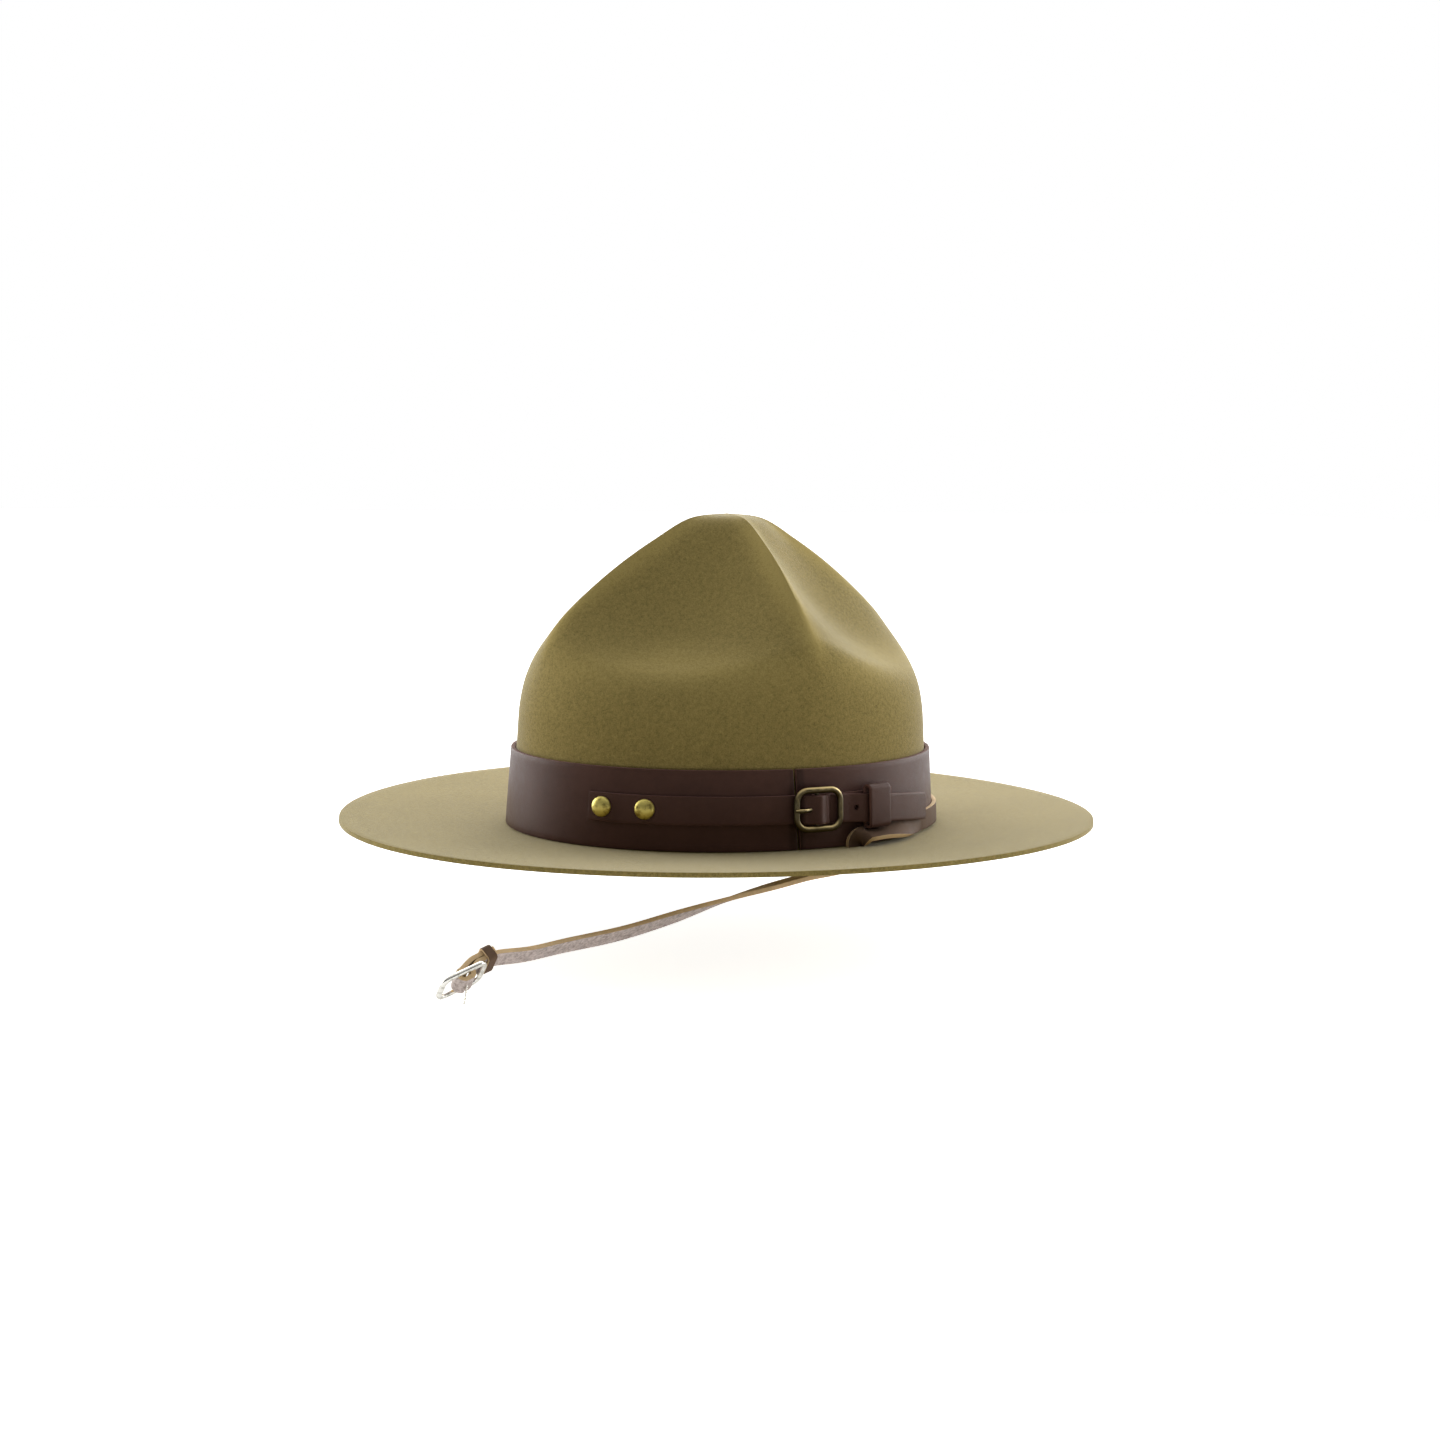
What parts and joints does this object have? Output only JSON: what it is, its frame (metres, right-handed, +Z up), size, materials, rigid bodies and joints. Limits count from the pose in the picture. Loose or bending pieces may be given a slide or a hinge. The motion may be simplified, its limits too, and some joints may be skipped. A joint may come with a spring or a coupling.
{
  "type": "campaign hat",
  "caption": "Felt campaign hat with a four-dent crown and flat brim, a leather band with a riveted and buckled strap, and a leather chin strap with a free buckle end.",
  "frame": {"origin": "middle of the head opening, level with the brim where the crown rises", "axes": "+Z up, -Y towards the front of the hat, +X towards the wearer's left"},
  "size_m": [0.3244, 0.3915, 0.1823],
  "materials": {
    "felt": "olive-drab felt",
    "band_leather": "dark brown, smooth",
    "chin_leather": "brown grain with raw tan edges",
    "brass": "bright, domed",
    "dark_brass": "darkened, worn bright on the edges",
    "nickel": "polished nickel"
  },
  "bodies": {
    "hat": {"felt_body": "felt", "hat_band": "band_leather", "band_strap": "band_leather", "band_rivet_front": "brass", "band_rivet_rear": "brass", "band_buckle_tab": "band_leather", "band_buckle_frame": "dark_brass", "band_buckle_prong": "dark_brass", "band_keeper": "band_leather", "chin_strap": "chin_leather", "chin_keeper": "chin_leather"},
    "chin_buckle": {"chin_buckle_frame": "nickel"},
    "chin_prong": {"chin_buckle_prong": "nickel"}
  },
  "joints": [
    {"name": "chin_buckle_swing", "type": "hinge", "parent": "hat", "child": "chin_buckle", "pos_m": [0.1195, -0.18252, -0.0327], "axis": [0.69, -0.0405, 0.7227], "range_deg": [-60, 0]},
    {"name": "chin_prong_swing", "type": "hinge", "parent": "chin_buckle", "child": "chin_prong", "pos_m": [0.1195, -0.18252, -0.0327], "axis": [0.69, -0.0405, 0.7227], "range_deg": [-50, 60]}
  ]
}
